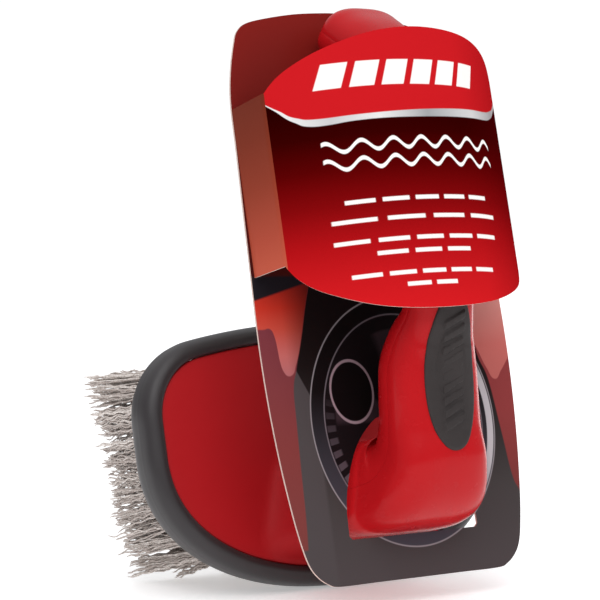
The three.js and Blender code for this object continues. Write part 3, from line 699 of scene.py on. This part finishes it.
class Surface:
    """A procedural material, with short calls for the nodes used here."""

    def __init__(self, name, colour, roughness, **sockets):
        """sockets names further inputs of the shader, with _ for a space."""
        self.material = bpy.data.materials.new(name)
        self.material.use_nodes = True
        self.tree = self.material.node_tree
        self.shader = self.tree.nodes["Principled BSDF"]
        self.shader.inputs["Base Color"].default_value = linear(*colour)
        self.shader.inputs["Roughness"].default_value = roughness
        for socket, value in sockets.items():
            self.shader.inputs[socket.replace("_", " ")].default_value = value
        self.place = self.tree.nodes.new("ShaderNodeTexCoord").outputs["Object"]

    def node(self, kind, *values, **settings):
        """A new node, with its first inputs set to, or linked from, the values."""
        made = self.tree.nodes.new(kind)
        for key, value in settings.items():
            setattr(made, key, value)
        for socket, value in zip(made.inputs, values):
            self.feed(socket, value)
        return made

    def feed(self, socket, value):
        """Links a socket's value in, or sets it. None leaves the input alone."""
        if isinstance(value, bpy.types.NodeSocket):
            self.tree.links.new(value, socket)
        elif value is not None:
            socket.default_value = value

    def maths(self, operation, *values, clamp=False):
        """The result of one Math node."""
        return self.node("ShaderNodeMath", *values, operation=operation, use_clamp=clamp).outputs[0]

    def blend(self, share, low, high):
        """The colour low where share is 0 and high where it is 1."""
        mix = self.node("ShaderNodeMix", data_type="RGBA")
        self.feed(mix.inputs["Factor"], share)
        self.feed(mix.inputs["A"], low if isinstance(low, bpy.types.NodeSocket) else linear(*low))
        self.feed(mix.inputs["B"], high if isinstance(high, bpy.types.NodeSocket) else linear(*high))
        return [socket for socket in mix.outputs if socket.type == "RGBA"][0]

    def noise(self, scale, detail=2, stretch=(1, 1, 1)):
        """Soft random mottle, 0 to 1."""
        where = self.node("ShaderNodeMapping", self.place, None, None, stretch)
        made = self.node("ShaderNodeTexNoise", where.outputs[0], None, scale, detail)
        return made.outputs["Fac"]

    def ramp(self, value, low, high):
        """value stretched so that low becomes 0 and high becomes 1."""
        return self.node("ShaderNodeMapRange", value, low, high).outputs[0]

    def colours(self, value, low, high, stops):
        """A run of colours as value goes from low to high. stops are (value, colour)."""
        made = self.node("ShaderNodeValToRGB", self.ramp(value, low, high))
        elements = made.color_ramp.elements
        while len(elements) < len(stops):
            elements.new(0.5)
        for element, (at, colour) in zip(elements, stops):
            element.position = (at - low) / (high - low)
        for element, (at, colour) in zip(elements, stops):
            element.color = linear(*colour)
        return made.outputs["Color"]

    def upright(self):
        """x and z in the brush's upright frame, in millimetres."""
        move, turn, scale = tuple(-(TURN.T @ SHIFT) / MM), (LEAN, 0, 0), (1 / MM,) * 3
        where = self.node("ShaderNodeMapping", self.place, move, turn, scale)
        apart = self.node("ShaderNodeSeparateXYZ", where.outputs[0])
        return apart.outputs["X"], apart.outputs["Z"]

    def edge(self, value, points):
        """A smooth printed edge: the height that a curve through the points has at value."""
        at = [p[0] for p in points]
        heights = [p[1] for p in points]
        low, high = min(heights) - 1, max(heights) + 1
        made = self.node("ShaderNodeFloatCurve", 1.0, self.ramp(value, at[0], at[-1]))
        curve = made.mapping.curves[0]
        while len(curve.points) < len(points):
            curve.points.new(0.5, 0.5)
        for knot, (place, height) in zip(curve.points, points):
            knot.location = ((place - at[0]) / (at[-1] - at[0]), (height - low) / (high - low))
        made.mapping.update()
        return self.node("ShaderNodeMapRange", made.outputs[0], 0.0, 1.0, low, high).outputs[0]

    def beyond(self, value, edge, soft=0.35):
        """1 where value is past the edge, 0 before it."""
        past = self.maths("SUBTRACT", value, edge)
        return self.maths("MULTIPLY_ADD", past, 1 / soft, 0.5, clamp=True)

    def within(self, value, centre, half, soft=0.35):
        """1 where value is within half of the centre."""
        off = self.maths("ABSOLUTE", self.maths("SUBTRACT", value, centre))
        return self.beyond(half, off, soft)

    def both(self, *masks):
        """1 where all the masks are 1."""
        result = masks[0]
        for mask in masks[1:]:
            result = self.maths("MULTIPLY", result, mask)
        return result

    def oval(self, x, z, centre, halves):
        """Distance from a centre in x and z, 1 on the oval with these half sizes."""
        shares = [
            self.maths("POWER", self.maths("DIVIDE", self.maths("SUBTRACT", value, middle), half), 2.0)
            for value, middle, half in zip((x, z), centre, halves)
        ]
        return self.maths("SQRT", self.maths("ADD", *shares))

    def colour(self, value):
        """Gives the shader its colour."""
        self.feed(self.shader.inputs["Base Color"], value)

    def rough(self, value, low, high):
        """Roughness from low to high as value goes from 0 to 1."""
        made = self.node("ShaderNodeMapRange", value, 0.0, 1.0, low, high)
        self.feed(self.shader.inputs["Roughness"], made.outputs[0])

    def bump(self, height, distance, strength=1.0):
        """Relief from a height, with its depth in millimetres."""
        made = self.node("ShaderNodeBump")
        made.inputs["Strength"].default_value = strength
        made.inputs["Distance"].default_value = distance * MM
        self.feed(made.inputs["Height"], height)
        self.feed(self.shader.inputs["Normal"], made.outputs[0])


def matte_red():
    """The head's moulded plastic: fine spark texture, a little chalky."""
    s = Surface("head_red", (172, 22, 28), 0.48, Specular_IOR_Level=0.15)
    drift = s.noise(14, 3)
    s.colour(s.blend(drift, (164, 20, 26), (181, 25, 31)))
    grain = s.noise(1500, 3)
    s.rough(s.noise(90, 4), 0.42, 0.54)
    s.bump(grain, 0.03, 0.35)
    return s.material


def glossy_red():
    """The handle: polished red plastic with slight flow marks."""
    s = Surface("handle_red", (186, 20, 26), 0.26, Specular_IOR_Level=0.1, Coat_Weight=0.08)
    s.shader.inputs["Coat Roughness"].default_value = 0.06
    flow = s.noise(30, 3, (1, 1, 0.35))
    s.colour(s.blend(flow, (174, 17, 23), (192, 23, 29)))
    s.rough(s.noise(160, 4), 0.2, 0.32)
    s.bump(s.noise(220, 2), 0.05, 0.12)
    return s.material


def bumper_rubber():
    """Dull black rubber with a faint bloom and fine scuffs."""
    s = Surface("bumper_black", (40, 35, 36), 0.44, Specular_IOR_Level=0.5)
    bloom = s.noise(40, 4)
    s.colour(s.blend(bloom, (32, 27, 29), (44, 39, 41)))
    scuffs = s.noise(600, 4, (1, 1, 0.15))
    s.rough(scuffs, 0.36, 0.5)
    s.bump(s.noise(1800, 2), 0.04, 0.5)
    return s.material


def pad_rubber():
    """The grip inlay: soft rubber with a fine stipple."""
    s = Surface("grip_black", (46, 40, 40), 0.6, Specular_IOR_Level=0.28)
    s.colour(s.blend(s.noise(60, 3), (41, 35, 35), (54, 48, 47)))
    s.rough(s.noise(400, 3), 0.5, 0.72)
    stipple = s.node("ShaderNodeTexVoronoi", s.place)
    stipple.inputs["Scale"].default_value = 1400
    s.bump(stipple.outputs["Distance"], 0.05, 0.5)
    return s.material


def block_plastic():
    """The bristle block's dark moulded plastic."""
    s = Surface("block_black", (34, 30, 30), 0.5)
    s.colour(s.blend(s.noise(50, 3), (28, 25, 25), (42, 38, 38)))
    s.rough(s.noise(300, 3), 0.42, 0.62)
    s.bump(s.noise(900, 2), 0.04, 0.4)
    return s.material


def bristle_fibre():
    """Crimped filaments: each with its own grey, mottled a little darker at random."""
    s = Surface("bristle_grey", (200, 191, 187), 0.5, Specular_IOR_Level=0.35)
    own = s.node("ShaderNodeAttribute", attribute_name="shade").outputs["Fac"]
    strand = s.blend(own, (184, 172, 166), (232, 224, 218))
    s.colour(s.blend(s.ramp(s.noise(900, 2), 0.45, 0.8), strand, (164, 150, 142)))
    s.rough(own, 0.42, 0.62)
    s.bump(s.noise(2500, 2), 0.02, 0.3)
    return s.material


def screw_steel():
    """Plain steel, slightly uneven."""
    s = Surface("screw_steel", (150, 152, 155), 0.35, Metallic=0.9)
    s.colour(s.blend(s.noise(200, 3), (136, 138, 141), (164, 166, 168)))
    s.rough(s.noise(700, 3), 0.28, 0.45)
    s.bump(s.noise(1600, 2), 0.02, 0.3)
    return s.material


def board_back():
    """The unprinted side of the card: grey-white board with short fibres."""
    s = Surface("board_back", (196, 190, 182), 0.7, Specular_IOR_Level=0.25)
    fibre = s.noise(700, 4, (1, 1, 0.2))
    s.colour(s.blend(s.ramp(fibre, 0.3, 0.7), (186, 179, 171), (207, 202, 195)))
    s.rough(fibre, 0.62, 0.8)
    s.bump(fibre, 0.04, 0.4)
    return s.material


def board_edge():
    """The cut edge of the card, showing its pale core."""
    s = Surface("board_edge", (205, 178, 168), 0.7, Specular_IOR_Level=0.2)
    s.colour(s.blend(s.noise(1200, 2), (190, 158, 148), (222, 202, 193)))
    s.rough(s.noise(900, 2), 0.6, 0.8)
    return s.material


def coated(s):
    """The varnish over a print: satin, with a slight waviness of the card."""
    s.rough(s.noise(60, 4), 0.26, 0.38)
    s.bump(s.noise(45, 2), 0.25, 0.12)


def strip_print():
    """The belt's side strips: brown at the top running to orange-red."""
    s = Surface("strip_print", (150, 64, 46), 0.36, Specular_IOR_Level=0.05)
    _, z = s.upright()
    s.colour(s.colours(z, STRIP_LOW, STRIP_HIGH, [
        (113.5, (186, 84, 63)), (125, (170, 72, 53)), (145, (138, 56, 38)), (163, (118, 47, 31)),
        (177.5, (108, 43, 29)),
    ]))
    coated(s)
    return s.material


def flap_print():
    """The flap: a bright cap over a silver band, then maroon running down to bright red, with painted shade
    towards the right crease.
    """
    s = Surface("flap_print", (170, 20, 24), 0.36, Specular_IOR_Level=0.0)
    x, z = s.upright()
    field = s.colours(z, 92, 175, [
        (92, (204, 27, 32)), (104, (192, 24, 29)), (118, (168, 16, 21)), (132, (126, 8, 11)),
        (146, (84, 2, 3)), (158, (52, 1, 1)), (172, (34, 0, 0)),
    ])
    band_low = s.edge(x, [
        (-58, 173.6), (-55.6, 170.9), (-50.1, 164.9), (-46.1, 162.8), (-43, 162.5), (-32.7, 163.1),
        (-3, 163.4), (22.5, 164.3), (30.5, 164.9), (35.7, 166.3), (44.3, 171.6), (53.4, 178),
    ])
    band_high = s.edge(x, [
        (-58, 173.9), (-54.1, 170.2), (-49.4, 166.5), (-45, 165.3), (-32.4, 165.3), (-2.4, 166.3),
        (21, 167.4), (29.2, 167.9), (37.4, 169.8), (46.9, 174.7), (53.4, 178.3),
    ])
    silver = s.colours(x, -58, 52, [
        (-58, (236, 234, 233)), (-40, (194, 192, 193)), (-24, (224, 222, 221)), (-4, (158, 158, 160)),
        (20, (212, 211, 211)), (38, (176, 175, 177)), (52, (232, 231, 230)),
    ])
    banded = s.blend(s.beyond(z, band_low), field, silver)
    capped = s.blend(s.beyond(z, band_high), banded, (197, 27, 33))
    # Painted shade: the flap's colour darkens towards its right crease, where the light falls off.
    painted_shade_right = s.maths("MULTIPLY", s.ramp(x, 14, 50), 0.4)
    shaded = s.blend(painted_shade_right, capped, (84, 2, 6))
    s.colour(s.blend(flap_marks(s, x, z), shaded, (250, 244, 240)))
    coated(s)
    return s.material


def flap_marks(s, x, z):
    """Plain white ornaments in place of wording: a strip of slanted blocks like tyre tread, a pair of
    waves like the bristles' crimp, and rows of dashes."""
    slanted = s.maths("MULTIPLY_ADD", s.maths("SUBTRACT", z, 180.5), -0.35, x)
    along = s.maths("FRACT", s.maths("DIVIDE", s.maths("ADD", slanted, 43.0), 11.4))
    marks = [s.both(
        s.within(along, 0.42, 0.38, 0.03), s.within(z, 180.5, 4.7), s.within(slanted, -8.8, 34.2),
    )]
    wave = s.maths("MULTIPLY", s.maths("SINE", s.maths("MULTIPLY", x, 0.55)), 1.9)
    for height in (153.8, 147.2):
        line = s.within(z, s.maths("ADD", wave, height), 0.75)
        marks.append(s.both(line, s.within(x, -7.5, 36.5)))
    for at, left, right, words in (
        (133, -40, 22, 5), (126, -45, 27, 4), (118.2, -45, 25, 5), (113.4, -32, 9, 3),
        (105.6, -41, 20, 5), (101.2, -23, 0, 2),
    ):
        along = s.maths("FRACT", s.maths("DIVIDE", s.maths("SUBTRACT", x, left), (right - left) / words))
        dash = s.within(along, 0.45, 0.4, 0.03)
        span = s.within(x, (left + right) / 2, (right - left) / 2)
        marks.append(s.both(dash, span, s.within(z, at, 0.75)))
    together = marks[0]
    for mark in marks[1:]:
        together = s.maths("MAXIMUM", together, mark)
    return together


def backer_print():
    """The backer: deep red above the belt, darkened towards the belt by painted shade, a painted shadow
    under the left strip, flame tongues at its sides and a generic tyre round the window."""
    s = Surface("backer_print", (62, 56, 56), 0.36, Specular_IOR_Level=0.05)
    x, z = s.upright()
    centre = s.colours(z, 0, 110, [
        (0, (74, 66, 67)), (30, (66, 60, 60)), (56, (44, 39, 39)), (80, (27, 19, 19)), (110, (24, 17, 18)),
    ])
    below = s.beyond(78.0, s.maths("MULTIPLY_ADD", s.maths("ADD", x, 44.6), 2.0, z), 1.2)
    centre = s.blend(s.both(below, s.beyond(-38.5, x, 1.5)), centre, (76, 69, 70))
    lower = tyre_print(s, x, z, centre)
    lower = left_flames(s, x, z, lower)
    lower = right_flames(s, x, z, lower)
    # Painted shadow: a near-black band on the backer just under the belt's left strip.
    painted_shadow_line = s.maths("MULTIPLY_ADD", s.maths("ADD", x, 58.6), 0.26, 105.0)
    with_painted_shadow = s.blend(s.beyond(z, painted_shadow_line, 0.8), lower, (33, 29, 34))
    # Painted shade: the wing's red darkens downwards towards the belt and the handle's end.
    wing_with_painted_shade = s.colours(z, 114, 218, [(114, (70, 22, 20)), (150, (104, 28, 24)), (218, (136, 32, 27))])
    s.colour(s.blend(s.beyond(z, 114.0, 1.0), with_painted_shadow, wing_with_painted_shade))
    coated(s)
    return s.material


def tyre_print(s, x, z, ground):
    """Thin light rings, a band of tread blocks and a dark hub."""
    radius = s.oval(x, z, (3.0, 57.0), (44.0, 48.0))
    off_x = s.maths("SUBTRACT", x, 3.0)
    around = s.maths("ARCTAN2", s.maths("SUBTRACT", z, 57.0), off_x)
    inside = s.beyond(1.0, radius, 0.01)
    low_side = s.maths("SUBTRACT", 1.0, s.ramp(z, 20, 70))
    rubber = s.blend(low_side, (20, 15, 16), (70, 66, 74))
    made = s.blend(inside, ground, rubber)
    made = s.blend(s.beyond(0.86, radius, 0.01), made, (24, 18, 20))
    blocks = s.maths("SINE", s.maths("MULTIPLY", around, 46.0))
    tread = s.both(s.within(radius, 0.80, 0.045, 0.02), s.beyond(blocks, 0.0, 0.3), low_side)
    made = s.blend(tread, made, (104, 90, 98))
    spoke = s.maths("SINE", s.maths("MULTIPLY", around, 5.0))
    facet = s.both(s.beyond(0.74, radius, 0.02), s.beyond(spoke, 0.15, 0.5))
    made = s.blend(s.maths("MULTIPLY", facet, 0.7), made, (66, 50, 56))
    for at, colour in ((1.0, (142, 134, 138)), (0.86, (112, 102, 108))):
        made = s.blend(s.within(radius, at, 0.006, 0.006), made, colour)
    right = s.ramp(off_x, 26, 40)
    made = s.blend(s.both(s.within(radius, 0.95, 0.035, 0.01), right), made, (186, 180, 184))
    hub = s.oval(x, z, (-20.4, 69.3), (9.9, 11.8))
    made = s.blend(s.beyond(1.0, hub, 0.02), made, (18, 13, 14))
    return s.blend(s.within(hub, 1.0, 0.045, 0.03), made, (158, 134, 142))


def left_flames(s, x, z, ground):
    """A dusky band down the left side, with a lighter tongue over its top."""
    side = s.edge(z, [
        (10, -50.5), (23, -49.4), (37, -48.8), (46, -48.4), (60, -47.7), (71, -47), (78.5, -44.6),
        (90.6, -40.3), (101.9, -36.7), (112, -33),
    ])
    tongue = s.edge(x, [
        (-61, 94.2), (-57, 94.0), (-54, 94.2), (-52.3, 91), (-51.4, 82), (-50.3, 78), (-48.7, 76.4),
        (-46.4, 76.9), (-44.6, 80), (-40, 90),
    ])
    left_of = s.beyond(side, x, 0.5)
    deep = s.colours(z, 10, 96, [(10, (118, 60, 57)), (50, (126, 57, 56)), (96, (122, 56, 64))])
    made = s.blend(s.both(left_of, s.beyond(z, 12.0, 0.8)), ground, deep)
    light = s.colours(z, 76, 110, [
        (76, (178, 106, 108)), (84, (196, 104, 100)), (94, (200, 76, 62)), (102, (196, 52, 38)),
        (110, (176, 44, 34)),
    ])
    shaded = s.blend(s.maths("MULTIPLY", s.ramp(x, -48, -35), 0.75), light, (60, 20, 20))
    return s.blend(s.both(left_of, s.beyond(z, tongue, 0.5)), made, shaded)


def right_flames(s, x, z, ground):
    """A dusky band down the right side, with a lighter pointed tongue over its top."""
    side = s.edge(z, [
        (22, 56.5), (26.5, 54.9), (31.6, 52.6), (50.6, 50.1), (71.7, 47.2), (82.3, 43.4), (100, 42),
        (112, 41),
    ])
    tongue = s.edge(x, [(40, 92), (44.2, 82.8), (47.4, 75.6), (50.9, 71), (54.6, 74.2), (61, 81.6)])
    right_of = s.beyond(x, side, 0.5)
    deep = s.colours(z, 20, 96, [(20, (110, 52, 50)), (60, (138, 58, 58)), (96, (140, 60, 62))])
    made = s.blend(s.both(right_of, s.beyond(z, 24.0, 1.0)), ground, deep)
    light = s.colours(z, 70, 112, [(70, (182, 98, 92)), (85, (194, 104, 98)), (112, (214, 150, 142))])
    return s.blend(s.both(right_of, s.beyond(z, tongue, 0.5)), made, light)


# ------------------------------------------------------------------ stage, light and camera
def floor_piece():
    """A wide plain floor, faintly lit from within so that it stays white."""
    mesh = bpy.data.meshes.new("floor")
    corners = [(x * FLOOR_HALF, y * FLOOR_HALF, 0) for x, y in ((-1, -1), (1, -1), (1, 1), (-1, 1))]
    mesh.from_pydata(corners, [], [(0, 1, 2, 3)])
    s = Surface("floor_white", (247, 247, 247), 0.4, Specular_IOR_Level=0.15, Emission_Strength=0.37)
    s.shader.inputs["Emission Color"].default_value = (1, 1, 1, 1)
    mesh.materials.append(s.material)
    floor = bpy.data.objects.new("floor", mesh)
    bpy.context.scene.collection.objects.link(floor)
    return floor


def studio_light():
    """A white backdrop for the camera, and for the object a soft grey sky, brightest overhead."""
    world = bpy.context.scene.world or bpy.data.worlds.new("studio")
    bpy.context.scene.world = world
    world.use_nodes = True
    sky = world.node_tree
    sky.nodes.clear()
    new = sky.nodes.new
    seen = new("ShaderNodeBackground")
    seen.inputs["Color"].default_value = (1, 1, 1, 1)
    seen.inputs["Strength"].default_value = BACKDROP
    around = new("ShaderNodeBackground")
    around.inputs["Color"].default_value = (0.97, 0.98, 1, 1)
    where = new("ShaderNodeTexCoord")
    apart = new("ShaderNodeSeparateXYZ")
    overhead = new("ShaderNodeMapRange")
    for socket, value in SKY_LEVELS:
        overhead.inputs[socket].default_value = value
    path = new("ShaderNodeLightPath")
    pick = new("ShaderNodeMixShader")
    out = new("ShaderNodeOutputWorld")
    for source, socket in (
        (where.outputs["Generated"], apart.inputs[0]), (apart.outputs["Z"], overhead.inputs["Value"]),
        (overhead.outputs[0], around.inputs["Strength"]), (path.outputs["Is Camera Ray"], pick.inputs[0]),
        (around.outputs[0], pick.inputs[1]), (seen.outputs[0], pick.inputs[2]),
        (pick.outputs[0], out.inputs[0]),
    ):
        sky.links.new(source, socket)


def aimed(name, data, way, place=(0, 0, 0)):
    """A lamp or camera at a place, facing along way."""
    item = bpy.data.objects.new(name, data)
    item.location = place
    item.rotation_mode = "QUATERNION"
    item.rotation_quaternion = Vector(way).to_track_quat("-Z", "Y")
    bpy.context.scene.collection.objects.link(item)
    return item


def sun(name, way, strength, spread):
    """Parallel light along way. spread is in degrees."""
    lamp = bpy.data.lights.new(name, "SUN")
    lamp.energy = strength
    lamp.angle = math.radians(spread)
    aimed(name, lamp, way)


def panel(name, place, target, width, height, power):
    """A rectangular soft light at a place, facing its target."""
    lamp = bpy.data.lights.new(name, "AREA")
    lamp.shape = "RECTANGLE"
    lamp.size = width
    lamp.size_y = height
    lamp.energy = power
    aimed(name, lamp, Vector(target) - Vector(place), place)


def camera():
    """The view of the brush from its front left, slightly above."""
    lens = bpy.data.cameras.new("camera")
    lens.lens = LENS
    lens.sensor_width = SENSOR
    bpy.context.scene.camera = aimed("camera", lens, CAMERA_WAY, CAMERA_PLACE)


# ------------------------------------------------------------------ assembly
camera()
studio_light()
sun("key", (0.35, 0.75, -1.0), 0.8, 50)
panel("front_left", (-0.75, -0.55, 0.75), (0, -0.05, 0.1), 0.5, 0.5, 0.85)
panel("right_edge", (0.9, 0.3, 0.2), (0, -0.07, 0.1), 0.3, 0.9, 1.4)
bpy.context.scene.view_settings.view_transform = "Standard"
floor_piece()

rubber, red, gloss = bumper_rubber(), matte_red(), glossy_red()
fibre, pad_black = bristle_fibre(), pad_rubber()
board, edge = board_back(), board_edge()

pieces = [bumper_ring(rubber), head_shell(red)]
pieces += [bristle_row(index, fibre) for index in range(ROW_COUNT)]
outer = handle_half("handle_outer", 1, ["handle_outer_shell"], gloss)
pieces += [outer, handle_half("handle_inner", -1, ["handle_inner_cover"], gloss)]
pieces.append(grip_pad(outer, pad_black))
pieces.append(card_backer(backer_print(), board, edge))
pieces.append(card_belt(flap_print(), strip_print(), board, edge))
for piece in pieces:
    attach(piece, "root")

kept = {"bristle_block": block_plastic(), "card_glue_tab": strip_print()}
steel = screw_steel()
for name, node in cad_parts.items():
    if "screw" in name:
        kept[name] = steel
for name, material in kept.items():
    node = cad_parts[name]
    node.data.materials.clear()
    node.data.materials.append(material)
